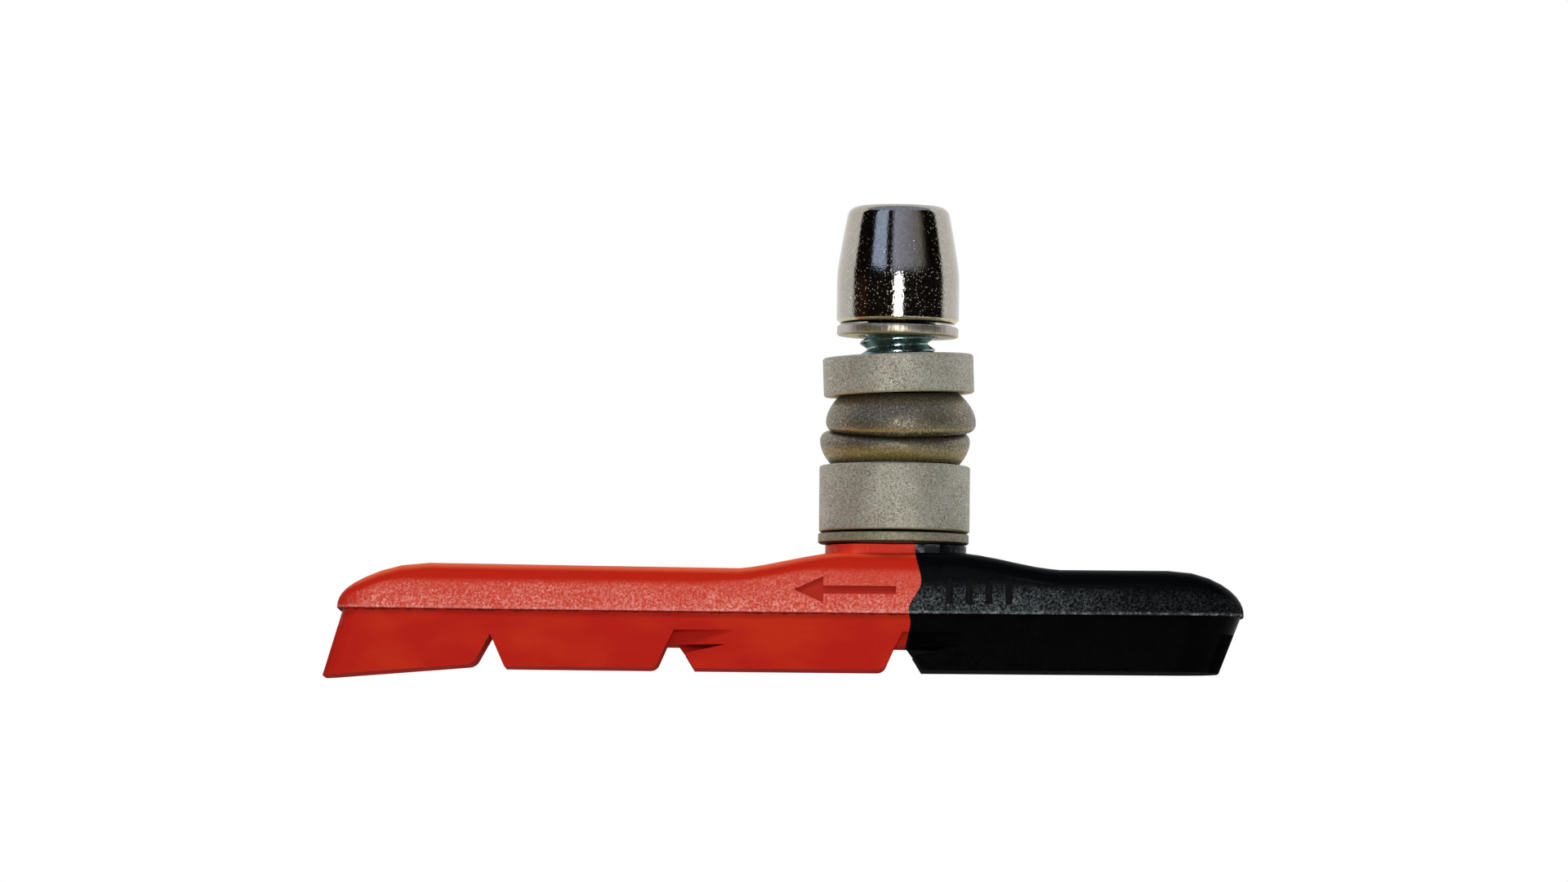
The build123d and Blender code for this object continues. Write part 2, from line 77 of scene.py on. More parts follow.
def modified(piece, kind, **settings):
    """Adds a modifier and applies it."""
    take(piece)
    modifier = piece.modifiers.new(kind.lower(), kind)
    for key, value in settings.items():
        setattr(modifier, key, value)
    bpy.ops.object.modifier_apply(modifier=modifier.name)
    return piece


def combined(piece, other, operation):
    """Unites, cuts or intersects a solid with another one, which is used up."""
    modified(piece, "BOOLEAN", object=other, operation=operation, solver="EXACT")
    bpy.data.objects.remove(other)
    return piece


def closed(piece):
    """Merges doubles and turns all faces outwards."""
    edit_all(piece)
    bpy.ops.mesh.remove_doubles(threshold=DOUBLES)
    bpy.ops.mesh.normals_make_consistent(inside=False)
    bpy.ops.object.mode_set(mode="OBJECT")
    return piece


def smooth(piece, degrees=32):
    """Smooth shading that keeps edges sharper than the angle."""
    take(piece)
    bpy.ops.object.shade_smooth_by_angle(angle=math.radians(degrees))
    return modified(piece, "WEIGHTED_NORMAL", mode="FACE_AREA", weight=50, keep_sharp=True)


def eased(piece, width, degrees=32):
    """Breaks every sharp edge by a small round."""
    return modified(piece, "BEVEL", width=width * MM, segments=2, limit_method="ANGLE",
                    angle_limit=math.radians(degrees), use_clamp_overlap=True, miter_outer="MITER_ARC")


def shifted(piece, x, y, z):
    """Moves the whole mesh."""
    edit_all(piece)
    bpy.ops.transform.translate(value=(x * MM, y * MM, z * MM))
    bpy.ops.object.mode_set(mode="OBJECT")
    return piece


def leaned(piece, axis, degrees, centre):
    """Turns the whole mesh by the right-hand rule about an axis through a centre."""
    edit_all(piece)
    pivot = tuple(c * MM for c in centre)
    # with no window the operator turns the other way
    bpy.ops.transform.rotate(value=-math.radians(degrees), orient_axis=axis, orient_type="GLOBAL",
                             center_override=pivot)
    bpy.ops.object.mode_set(mode="OBJECT")
    return piece


def turned(name, rings, segments=192, capped=False):
    """Piece turned about Z: a circle drawn out and widened from ring to ring.

    It runs back to the first ring, or ends flat when it is capped.
    """
    rest()
    radius, height = rings[0]
    bpy.ops.mesh.primitive_circle_add(vertices=segments, radius=radius * MM, location=(0, 0, height * MM),
                                      fill_type="NGON" if capped else "NOTHING")
    piece = added(name)
    edit_all(piece)
    for next_radius, next_height in rings[1:] + ([] if capped else rings[:1]):
        bpy.ops.mesh.extrude_region_move(
            TRANSFORM_OT_translate={"value": (0, 0, (next_height - height) * MM)})
        share = next_radius / radius
        bpy.ops.transform.resize(value=(share, share, 1), center_override=(0, 0, 0))
        radius, height = next_radius, next_height
    return closed(piece)


def drawn(name, points):
    """Line of edges through points (x, z), drawn one vertex after the other."""
    rest()
    bpy.ops.mesh.primitive_plane_add(size=0.1 * MM)
    piece = added(name)
    edit_all(piece)
    bpy.ops.mesh.merge(type="CENTER")
    x, z = points[0]
    bpy.ops.transform.translate(value=(x * MM, 0, z * MM))
    for next_x, next_z in points[1:]:
        bpy.ops.mesh.extrude_region_move(
            TRANSFORM_OT_translate={"value": ((next_x - x) * MM, 0, (next_z - z) * MM)})
        x, z = next_x, next_z
    bpy.ops.object.mode_set(mode="OBJECT")
    return piece


def arc(centre, radius, start, end, steps):
    """Points (radius, height) on an arc, angles in degrees from the radial direction."""
    points = []
    for step in range(steps + 1):
        angle = math.radians(start + (end - start) * step / steps)
        points.append((centre[0] + radius * math.cos(angle), centre[1] + radius * math.sin(angle)))
    return points


# Sizes shared with the solids
SEAM_Z = 4.4
MARK_Z, MARK_HALF = 6.25, 1.05
MOUTHS_X, MOUTH_ROUND = (-33.1, -18.8, -0.85), 0.45
ARROW_X, ARROW_HALF, ARROW_HEAD, SHAFT_HALF = -4.0, 4.0, 2.3, 0.31
TICK_X, TICK_PITCH, TICK_COUNT, TICK_HALF = 4.2, 1.55, 4, 0.275
WASHER_R = 5.95
BASE_X, BASE_Z, BASE_THICK, BASE_BORE_R = -0.19, 9.97, 0.97, 3.3
CUP_X, CUP_Z, CUP_HEIGHT, CUP_BORE_R = -0.13, 10.94, 5.25, 3.3
LOW_CUP_X, LOW_CUP_HEIGHT, LOW_CUP_BORE_R = 0.10, 3.05, 3.55
CUP_RIM_R = 5.12
BALL_R = 7.0
LOWER_SEAT_R, UPPER_SEAT_R = 7.15, 7.26
LOWER_CENTRE_Z = CUP_Z + CUP_HEIGHT + math.sqrt(LOWER_SEAT_R ** 2 - CUP_RIM_R ** 2)
FLAT_OFF = 2.223
DOME_LEAN = 7.0
DOME_GAP = 0.02
MEETING_Z = LOWER_CENTRE_Z - FLAT_OFF / math.cos(math.radians(DOME_LEAN))
UPPER_CENTRE_Z = MEETING_Z + DOME_GAP - FLAT_OFF / math.cos(math.radians(DOME_LEAN))
UPPER_CUP_Z = UPPER_CENTRE_Z + math.sqrt(UPPER_SEAT_R ** 2 - CUP_RIM_R ** 2)
UPPER_DOME_X = 0.32
NUT_WASHER_Z = UPPER_CUP_Z + LOW_CUP_HEIGHT + 1.55
NUT_WASHER_THICK = 0.82
NUT_Z = NUT_WASHER_Z + NUT_WASHER_THICK + 0.18
NUT_HEIGHT = 9.32
POST_TOP_Z = NUT_Z + 4.33


# Materials. Every pattern reads object coordinates in millimetres, so a scale of 8 draws spots of
# 1/8 mm, two pixels of the photo. Bead dents, grit and moulded grain that are finer on the real part
# are drawn about that coarse, so that they show.
SOFT = {"interpolation_type": "SMOOTHSTEP"}
COLOUR = {"data_type": "RGBA", "clamp_factor": True}
PLUS = {"operation": "ADD"}
TIMES = {"operation": "MULTIPLY"}
OVER = {"operation": "GREATER_THAN"}
UNDER = {"operation": "LESS_THAN"}
SIZE = {"operation": "ABSOLUTE"}


def linear(code):
    """sRGB hex colour as linear RGBA."""
    parts = [int(code[i:i + 2], 16) / 255 for i in (1, 3, 5)]
    return tuple(c / 12.92 if c <= 0.04045 else ((c + 0.055) / 1.055) ** 2.4 for c in parts) + (1.0,)


def add(tree, kind, inputs=(), out=0, **settings):
    """Adds a node with its settings, links or fills its inputs, and gives one of its outputs.

    The inputs are a list in the node's own order, or a dict by number or name.
    """
    node = tree.nodes.new("ShaderNode" + kind)
    for key, value in settings.items():
        setattr(node, key, value)
    for key, value in inputs.items() if isinstance(inputs, dict) else enumerate(inputs):
        if isinstance(value, bpy.types.NodeSocket):
            tree.links.new(value, node.inputs[key])
        else:
            node.inputs[key].default_value = value
    return node.outputs[out] if node.outputs else None


def new_material(name):
    """Empty node material, the function that adds its nodes, and its place in millimetres."""
    material = bpy.data.materials.new(name)
    material.use_nodes = True
    material.node_tree.nodes.clear()
    put = partial(add, material.node_tree)
    place = put("Mapping", {"Vector": put("TexCoord", out="Object"), "Scale": (1000, 1000, 1000)})
    return material, put, place


def layered(put, code, layers):
    """Colour with others laid over it in turn, each by a share or over a range of a pattern."""
    colour = linear(code)
    for measure, over in layers:
        share = put("MapRange", list(measure), **SOFT) if isinstance(measure, tuple) else measure
        colour = put("Mix", {0: share, 6: colour, 7: linear(over)}, out=2, **COLOUR)
    return colour


def surfaced(material, put, base, rough, height, depth, metallic, coat=()):
    """Ends a metal: colour, roughness and relief (its depth in millimetres) go into the shader."""
    bumped = put("Bump", {"Height": height, "Distance": depth * MM})
    shader = put("BsdfPrincipled", {"Base Color": base, "Roughness": rough, "Normal": bumped,
                                    "Metallic": metallic, **dict(coat)})
    put("OutputMaterial", [shader])
    return material


def arrow_zone(put, x, z):
    """1 inside the arrow sunk in the near flank, 0 outside."""
    along = put("Math", [x, ARROW_HALF - ARROW_X], **PLUS)
    height = put("Math", [put("Math", [z, -MARK_Z], **PLUS)], **SIZE)
    head_half = put("Math", [along, MARK_HALF / ARROW_HEAD], **TIMES)
    in_shaft = put("Math", [along, ARROW_HEAD], **OVER)
    half = put("Mix", {0: in_shaft, 2: head_half, 3: SHAFT_HALF}, data_type="FLOAT")
    inside = put("Math", [half, height], **OVER)
    return put("Math", [inside, put("Math", [along, 2 * ARROW_HALF], **UNDER)], **TIMES)


def tick_zone(put, x, z):
    """1 inside the ticks sunk in the near flank, 0 outside."""
    height = put("Math", [put("Math", [z, -MARK_Z], **PLUS)], **SIZE)
    steps = put("Math", [put("Math", [x, 0.5 * TICK_PITCH - TICK_X], **PLUS), 1 / TICK_PITCH], **TIMES)
    aside = put("Math", [put("Math", [put("Math", [steps], operation="FRACT"), -0.5], **PLUS)], **SIZE)
    inside = put("Math", [aside, TICK_HALF / TICK_PITCH], **UNDER)
    inside = put("Math", [inside, put("Math", [steps, TICK_COUNT], **UNDER)], **TIMES)
    inside = put("Math", [inside, put("Math", [steps, 0.0], **OVER)], **TIMES)
    return put("Math", [inside, put("Math", [height, MARK_HALF], **UNDER)], **TIMES)


def grained_flank(put, x, z, up, above, marks):
    """1 on the grained part of the upper flank, 0 elsewhere."""
    flank = put("Math", [put("MapRange", [up, 0.38, 0.14], **SOFT), above], **TIMES)
    # the grain starts below the rolled edge, which rises towards the post and falls again behind it
    brow = put("Math", [put("MapRange", [x, -16.0, -7.0, 6.6, 7.75], **SOFT),
                        put("MapRange", [x, 5.0, 12.0, 0.0, -1.2], **SOFT)], **PLUS)
    below_brow = put("Math", [brow, z], operation="SUBTRACT")
    flank = put("Math", [flank, put("MapRange", [below_brow, -0.35, 0.35], **SOFT)], **TIMES)
    flank = put("Math", [flank, put("MapRange", [x, -43.6, -40.5], **SOFT)], **TIMES)
    return put("Math", [flank, put("Math", [1.0, marks], operation="SUBTRACT")], **TIMES)


def painted_seam_shadow(put, z, mottle):
    """1 in the dark, uneven band of painted shadow where the tool's halves met."""
    uneven = put("Math", [put("Math", [mottle, -0.5], **PLUS), 0.5], **TIMES)
    foot = put("MapRange", [put("Math", [z, uneven], **PLUS), SEAM_Z - 0.14, SEAM_Z - 0.05], **SOFT)
    return put("Math", [foot, put("MapRange", [z, SEAM_Z + 0.04, SEAM_Z], **SOFT)], **TIMES)


def torn_edge(put, z, torn_off, most):
    """Share of pale torn rubber just above the parting line."""
    strip = put("Math", [put("MapRange", [z, SEAM_Z, SEAM_Z + 0.05], **SOFT),
                         put("MapRange", [z, SEAM_Z + 0.3, SEAM_Z + 0.16], **SOFT)], **TIMES)
    torn = put("MapRange", [torn_off, 0.45, 0.72, 0.12 * most, most], **SOFT)
    return put("Math", [strip, torn], **TIMES)


def rubber(name, tones, speck_share, sheen_z_range, torn_share, gloss, smooth_rough, mark_zone,
           rear_fade=None):
    """Natural rubber compound moulded in a spark-eroded tool.

    The lower body and the rolled upper edge come off polished steel, so they are smooth with a dull
    gloss, and the collar is the glossiest. The upper flank comes off spark-eroded steel and has a fine
    grain, with smooth floors in its marks; its lighter tone, pale specks and glints are that grain with a
    painted sheen, which grows towards the parting line. The top of the rolled edge and the collar are
    painted lighter, as painted light, and the marks darker, as painted shade. The parting line is a dark,
    uneven band of painted shadow, with torn pale specks above it.
    """
    tones = {part: linear(code) for part, code in tones.items()}
    material, put, place = new_material(name)
    x, y, z = put("SeparateXYZ", [place]).node.outputs
    facing, _, rise = put("SeparateXYZ", [put("NewGeometry", out="Normal")]).node.outputs
    up = put("Math", [rise], **SIZE)
    above = put("MapRange", [z, SEAM_Z - 0.02, SEAM_Z + 0.1], **SOFT)
    marks = put("Math", [mark_zone(put, x, z), put("Math", [y, -2.0], **UNDER)], **TIMES)
    flank = grained_flank(put, x, z, up, above, marks)

    grain = put("TexNoise", {"Vector": place, "Scale": 5.6, "Detail": 3.0, "Roughness": 0.62})
    fine = put("TexNoise", {"Vector": place, "Scale": 8.0, "Detail": 2.0, "Roughness": 0.5})
    mottle = put("TexNoise", {"Vector": place, "Scale": 1.9, "Detail": 2.0, "Roughness": 0.5})
    torn_off = put("TexNoise", {"Vector": place, "Scale": 2.6, "Detail": 2.0, "Roughness": 0.6})
    wide = put("Mapping", {"Vector": place, "Scale": (0.45, 1, 1)})
    patch = put("TexNoise", {"Vector": wide, "Scale": 0.35, "Detail": 2.0, "Roughness": 0.5})
    drawn_out = put("Mapping", {"Vector": place, "Scale": (0.12, 1, 1.6)})
    streaks = put("TexNoise", {"Vector": drawn_out, "Scale": 1.6, "Detail": 3.0, "Roughness": 0.6})

    lower = put("Mix", {0: put("MapRange", [patch, 0.35, 0.7], **SOFT), 6: tones["body"],
                        7: tones["body_warm"]}, out=2, **COLOUR)
    lower = put("Mix", {0: put("MapRange", [streaks, 0.4, 0.75, 0.0, 0.35], **SOFT), 6: lower,
                        7: tones["roll"]}, out=2, **COLOUR)
    # the top of the rolled edge is painted lighter where it faces up: painted light from above
    rolled = put("Mix", {0: put("MapRange", [up, 0.6, 0.92], **SOFT), 6: tones["roll"], 7: tones["top"]},
                 out=2, **COLOUR)

    # the pale specks draw the spark-eroded grain together with a painted sheen, which grows towards the
    # parting line
    painted_sheen_low_down = put("MapRange", [z, *sheen_z_range], **SOFT)
    specks = put("Math", [put("MapRange", [grain, 0.39, 0.68], **SOFT), painted_sheen_low_down], **TIMES)
    specks = put("Math", [specks, put("MapRange", [mottle, 0.3, 0.65, 0.45, 1.0], **SOFT)], **TIMES)
    specks = put("Math", [specks, put("MapRange", [patch, 0.3, 0.7, 0.6, 1.0], **SOFT)], **TIMES)
    specks = put("Math", [specks, speck_share], **TIMES)
    sprinkled = put("Mix", {0: specks, 6: tones["flank"], 7: tones["speck"]}, out=2, **COLOUR)
    # painted glints on the grain
    glints = put("Math", [put("MapRange", [fine, 0.64, 0.7], **SOFT), painted_sheen_low_down], **TIMES)
    glints = put("Math", [glints, 0.6 * speck_share], **TIMES)
    sprinkled = put("Mix", {0: glints, 6: sprinkled, 7: tones["glint"]}, out=2, **COLOUR)
    if rear_fade:
        share = put("MapRange", [x, *rear_fade, 0.0, 0.8], **SOFT)
        sprinkled = put("Mix", {0: share, 6: sprinkled, 7: tones["body"]}, out=2, **COLOUR)
    upper = put("Mix", {0: flank, 6: rolled, 7: sprinkled}, out=2, **COLOUR)
    # the marks are painted darker: painted shade in their sunk floors
    upper = put("Mix", {0: marks, 6: upper, 7: tones["mark"]}, out=2, **COLOUR)
    # the collar is painted a lighter tone than the body: painted light on its front
    on_collar = put("MapRange", [z, 8.95, 9.15], **SOFT)
    upper = put("Mix", {0: on_collar, 6: upper, 7: tones["collar"]}, out=2, **COLOUR)
    colour = put("Mix", {0: above, 6: lower, 7: upper}, out=2, **COLOUR)

    # painted shadow under the step at the parting line
    line = painted_seam_shadow(put, z, mottle)
    colour = put("Mix", {0: line, 6: colour, 7: tones["seam"]}, out=2, **COLOUR)
    torn = torn_edge(put, z, torn_off, torn_share)
    colour = put("Mix", {0: torn, 6: colour, 7: tones["glint"]}, out=2, **COLOUR)

    rough = put("MapRange", [flank, 0.0, 1.0, smooth_rough, 0.55])
    # the braking face and the walls of its channels are ground dull
    ground = put("MapRange", [rise, -0.6, -0.9, 0.0, 0.6], **SOFT)
    rough = put("Math", [rough, ground], use_clamp=True, **PLUS)
    in_channel = put("Math", [put("MapRange", [put("Math", [facing], **SIZE), 0.5, 0.8], **SOFT),
                              put("Math", [z, 3.0], **UNDER)], **TIMES)
    rough = put("Math", [rough, in_channel], use_clamp=True, **PLUS)
    height = put("Math", [grain, put("MapRange", [flank, 0.0, 1.0, 0.06, 1.0])], **TIMES)
    height = put("Math", [height, put("Math", [fine, 0.15], **TIMES)], **PLUS)
    bumped = put("Bump", {"Height": height, "Distance": 0.09 * MM})
    # the collar was pressed on by the washer, which left it glossy in patches
    pressed = put("Math", [on_collar, put("MapRange", [mottle, 0.48, 0.75, 0.02, 0.4], **SOFT)], **TIMES)
    shader = put("BsdfPrincipled", {"Base Color": colour, "Roughness": rough, "Normal": bumped,
                                    "Metallic": 0.0, "IOR": 1.5, "Specular IOR Level": gloss,
                                    "Coat Weight": pressed, "Coat Roughness": 0.17})
    put("OutputMaterial", [shader])
    return material


def blasted_steel():
    """Steel cup turned, then bead blasted: even warm grey with a fine grain of bead dents, their pale
    specks painted glitter.
    """
    material, put, place = new_material("bead_blasted_steel")
    rise = put("SeparateXYZ", [put("NewGeometry", out="Normal")], out=2)
    dents = put("TexNoise", {"Vector": place, "Scale": 6.8, "Detail": 3.0, "Roughness": 0.7})
    cloud = put("TexNoise", {"Vector": place, "Scale": 0.5, "Detail": 3.0, "Roughness": 0.6})
    facets = put("TexNoise", {"Vector": place, "Scale": 5.0, "Detail": 1.0, "Roughness": 0.5})
    facets = put("MapRange", [facets, 0.62, 0.68], **SOFT)
    # the pale dents are painted glitter, and the last layer is a painted yellow reflection on the faces
    # that look down
    base = layered(put, "#A09C8C", [
        ((cloud, 0.3, 0.7), "#B0AEA2"),
        ((dents, 0.5, 0.68, 0.0, 0.8), "#D2CFC5"),
        ((dents, 0.47, 0.34, 0.0, 0.75), "#57544A"),
        ((rise, -0.2, -0.6, 0.0, 0.7), "#BDB27E")])
    rough = put("MapRange", [dents, 0.35, 0.65, 0.6, 0.42], **SOFT)
    rough = put("Math", [rough, put("Math", [facets, -0.2], **TIMES)], **PLUS)
    height = put("Math", [dents, put("Math", [facets, 0.3], **TIMES)], **PLUS)
    return surfaced(material, put, base, rough, height, 0.055, 0.75)


def satin_steel():
    """Steel dome washer, tumbled to a satin: darker, with a painted yellow reflection on its under side.
    """
    material, put, place = new_material("tumbled_satin_steel")
    rise = put("SeparateXYZ", [put("NewGeometry", out="Normal")], out=2)
    grain = put("TexNoise", {"Vector": place, "Scale": 7.0, "Detail": 3.0, "Roughness": 0.65})
    cloud = put("TexNoise", {"Vector": place, "Scale": 0.45, "Detail": 2.0, "Roughness": 0.55})
    # a painted yellow reflection below, and painted shade deep in the hollow above the cup
    base = layered(put, "#736D5F", [
        ((cloud, 0.35, 0.68), "#7B735F"),
        ((rise, -0.1, -0.4, 0.0, 0.9), "#968A58"),
        ((rise, -0.48, -0.68, 0.0, 0.85), "#3A3427"),
        ((grain, 0.52, 0.68, 0.0, 0.7), "#C6BFAC"),
        ((grain, 0.46, 0.33, 0.0, 0.7), "#464034")])
    rough = put("MapRange", [grain, 0.35, 0.65, 0.52, 0.3], **SOFT)
    return surfaced(material, put, base, rough, grain, 0.045, 0.9)


def stamped_steel():
    """Flat washer stamped from sheet and tumbled: dark olive grey, dull, with fine round scratches."""
    material, put, place = new_material("stamped_tumbled_steel")
    rise = put("SeparateXYZ", [put("NewGeometry", out="Normal")], out=2)
    grain = put("TexNoise", {"Vector": place, "Scale": 6.0, "Detail": 3.0, "Roughness": 0.6})
    flat = put("Mapping", {"Vector": place, "Scale": (0.6, 0.6, 9)})
    lines = put("TexNoise", {"Vector": flat, "Scale": 1.2, "Detail": 2.0, "Roughness": 0.6})
    level = put("Math", [rise], **SIZE)
    # the faces above and below are painted dark: painted shade in the joints
    base = layered(put, "#827D69", [
        ((grain, 0.35, 0.7), "#A6A18D"),
        ((lines, 0.5, 0.75, 0.0, 0.4), "#A29D89"),
        ((level, 0.35, 0.75, 0.0, 0.9), "#1C1915")])
    rough = put("MapRange", [grain, 0.3, 0.7, 0.66, 0.52], **SOFT)
    return surfaced(material, put, base, rough, grain, 0.035, 0.75)


def chromed_steel():
    """Nut turned and chrome plated: a mirror with fine pits in its straight part and a few scratches.

    The chamfer at its foot has a painted yellow reflection and the face under it is painted dark, as
    shade in the gap.
    """
    material, put, place = new_material("chrome_plated_steel")
    z = put("SeparateXYZ", [place], out=2)
    rise = put("SeparateXYZ", [put("NewGeometry", out="Normal")], out=2)
    worn = put("MapRange", [z, NUT_Z + 5.2, NUT_Z + 3.9, 0.3, 1.0], **SOFT)
    cells = put("TexVoronoi", {"Vector": place, "Scale": 4.6, "Randomness": 1.0})
    crowd = put("TexNoise", {"Vector": place, "Scale": 0.8, "Detail": 2.0, "Roughness": 0.5})
    pits = put("Math", [put("MapRange", [cells, 0.22, 0.08], **SOFT),
                        put("MapRange", [crowd, 0.36, 0.54], **SOFT)], **TIMES)
    pits = put("Math", [pits, worn], **TIMES)
    slanted = put("Mapping", {"Vector": place, "Rotation": (0.0, 0.9, 0.0), "Scale": (5.0, 1.0, 0.55)})
    scratches = put("TexNoise", {"Vector": slanted, "Scale": 1.0, "Detail": 1.0, "Roughness": 0.5})
    scratches = put("MapRange", [scratches, 0.76, 0.79, 0.0, 0.6], **SOFT)
    spoiled = put("Math", [pits, scratches], use_clamp=True, **PLUS)
    haze = put("TexNoise", {"Vector": place, "Scale": 4.0, "Detail": 3.0, "Roughness": 0.6})
    grit = put("TexNoise", {"Vector": place, "Scale": 7.0, "Detail": 1.0, "Roughness": 0.5})
    # the foot chamfer's yellow is a painted reflection, and the dark face under the nut is painted shade
    base = layered(put, "#A39E94", [
        ((haze, 0.35, 0.7), "#B3AEA5"),
        ((z, NUT_Z + 0.36, NUT_Z + 0.26), "#D2CAA2"),
        (spoiled, "#BAB6AC"),
        ((rise, -0.8, -0.95), "#1B161C")])
    rough = put("MapRange", [haze, 0.4, 0.75, 0.05, 0.13], **SOFT)
    rough = put("Math", [rough, put("Math", [spoiled, 0.22], **TIMES)], **PLUS)
    height = put("Math", [haze, 0.26], **TIMES)
    gritty = put("Math", [put("Math", [grit, worn], **TIMES), 0.35], **TIMES)
    height = put("Math", [height, gritty], **PLUS)
    height = put("Math", [height, put("Math", [pits, -1.0], **TIMES)], **PLUS)
    # a faint wide gloss over the mirror gives the soft glow round its highlights
    gloss = {"Coat Weight": 0.22, "Coat Roughness": 0.25}
    return surfaced(material, put, base, rough, height, 0.03, 1.0, gloss)


def sheared_zinc_steel():
    """Small washer sheared from sheet and zinc plated: short upright shear marks, pale and dark."""
    material, put, place = new_material("zinc_plated_washer_steel")
    x = put("SeparateXYZ", [place])
    rise = put("SeparateXYZ", [put("NewGeometry", out="Normal")], out=2)
    upright = put("Mapping", {"Vector": place, "Scale": (1, 1, 0.12)})
    shear = put("TexNoise", {"Vector": upright, "Scale": 7.5, "Detail": 2.0, "Roughness": 0.6})
    # the shear marks fade out at the two ends, which are painted pale: a painted reflection
    painted_pale_ends = put("MapRange", [put("Math", [x], **SIZE), 3.3, 4.2], **SOFT)
    shear = put("Mix", {0: painted_pale_ends, 2: shear, 3: 0.52}, data_type="FLOAT")
    cloud = put("TexNoise", {"Vector": place, "Scale": 0.9, "Detail": 3.0, "Roughness": 0.6})
    # the yellow under edge is a painted reflection and the dark top face is painted shade under the nut
    base = layered(put, "#807A6E", [
        ((shear, 0.36, 0.64), "#B9B2A8"),
        ((cloud, 0.45, 0.7, 0.0, 0.6), "#A79F7C"),
        (put("Math", [painted_pale_ends, 0.7], **TIMES), "#BDB3B0"),
        ((rise, -0.15, -0.6, 0.0, 0.7), "#C0B27A"),
        ((rise, 0.8, 0.95), "#1B161C")])
    rough = put("MapRange", [shear, 0.3, 0.7, 0.42, 0.28], **SOFT)
    return surfaced(material, put, base, rough, shear, 0.02, 0.9)


def plated_thread_steel():
    """Rolled thread, bright zinc plated, with the thin blue-green tint of its passivation."""
    material, put, place = new_material("zinc_plated_post_steel")
    cloud = put("TexNoise", {"Vector": place, "Scale": 0.9, "Detail": 3.0, "Roughness": 0.6})
    grain = put("TexNoise", {"Vector": place, "Scale": 7.0, "Detail": 2.0, "Roughness": 0.6})
    base = layered(put, "#A4B6BA", [
        ((cloud, 0.35, 0.65, 0.2, 0.9), "#5C8480"),
        ((grain, 0.55, 0.75, 0.0, 0.5), "#D6DEE2")])
    rough = put("MapRange", [grain, 0.3, 0.7, 0.22, 0.34], **SOFT)
    return surfaced(material, put, base, rough, grain, 0.015, 1.0)


def rolled_steel():
    """Cold-rolled strip, as stamped: grey with long rolling lines."""
    material, put, place = new_material("cold_rolled_steel")
    drawn_out = put("Mapping", {"Vector": place, "Scale": (0.08, 1, 1)})
    lines = put("TexNoise", {"Vector": drawn_out, "Scale": 2.0, "Detail": 3.0, "Roughness": 0.6})
    base = layered(put, "#77767A", [((lines, 0.35, 0.7), "#9C9B9E")])
    rough = put("MapRange", [lines, 0.3, 0.7, 0.3, 0.45], **SOFT)
    return surfaced(material, put, base, rough, lines, 0.01, 1.0)


# in these tones top and collar are painted light, flank and speck are grain with painted sheen, glint is
# painted glints and torn rubber, and mark and seam are painted shade
RED = {"body": "#A61A11", "body_warm": "#B02811", "roll": "#AC2011", "top": "#D25430",
       "flank": "#BC3C2C", "speck": "#F0A89C", "glint": "#FFDCD2", "mark": "#A2271C",
       "seam": "#76110A", "collar": "#DC3420"}
BLACK = {"body": "#010102", "body_warm": "#020203", "roll": "#020304", "top": "#0B0D0E",
         "flank": "#090B0C", "speck": "#7E8689", "glint": "#C6CCCE", "mark": "#020303",
         "seam": "#000000", "collar": "#06090B"}
red_rubber = rubber("moulded_red_rubber", RED, 0.78, (7.6, 4.6, 0.3, 1.0), 0.25, 0.06, 0.42, arrow_zone)
black_rubber = rubber("moulded_black_rubber", BLACK, 0.5, (7.2, 5.4, 0.0, 1.0), 0.3, 0.02, 0.3, tick_zone,
                      (11.0, 20.0))
cup_steel = blasted_steel()
dome_steel = satin_steel()
washer_steel = stamped_steel()
nut_chrome = chromed_steel()
washer_zinc = sheared_zinc_steel()
post_zinc = plated_thread_steel()
plate_steel = rolled_steel()


def dress(piece, material, body, slot, *nodes):
    """Gives a finished piece its material and its body, and hides the nodes that it stands for; slot is
    not used.
    """
    piece.data.materials.clear()
    piece.data.materials.append(material)
    for face in piece.data.polygons:
        face.material_index = 0
    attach(piece, body)
    if nodes:
        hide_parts(*nodes)
    return piece


# Pad
def prism(name, outline, near_y, far_y):
    """Solid with an outline in x and z, between two y."""
    piece = drawn(name, outline)
    edit_all(piece)
    bpy.ops.mesh.edge_face_add()
    bpy.ops.transform.translate(value=(0, near_y * MM, 0))
    bpy.ops.mesh.extrude_region_move(TRANSFORM_OT_translate={"value": (0, (far_y - near_y) * MM, 0)})
    return closed(piece)


def between(pairs, x):
    """Value at x on the straight lines between pairs (x, value)."""
    for (x0, low), (x1, high) in zip(pairs, pairs[1:]):
        if x <= x1:
            return low + (high - low) * max(0.0, (x - x0) / (x1 - x0))
    return pairs[-1][1]


# how far the top sits under the solid's top, most of all at the noses
TOP_DROP = [(-44.5, 0.5), (-42.0, 0.53), (-41.0, 0.46), (-40.0, 0.33), (-38.5, 0.24), (-37.0, 0.19),
            (-12.0, 0.15), (-9.0, 0.07), (7.0, 0.06), (11.0, 0.18), (23.0, 0.2), (25.0, 0.28),
            (27.5, 0.4)]


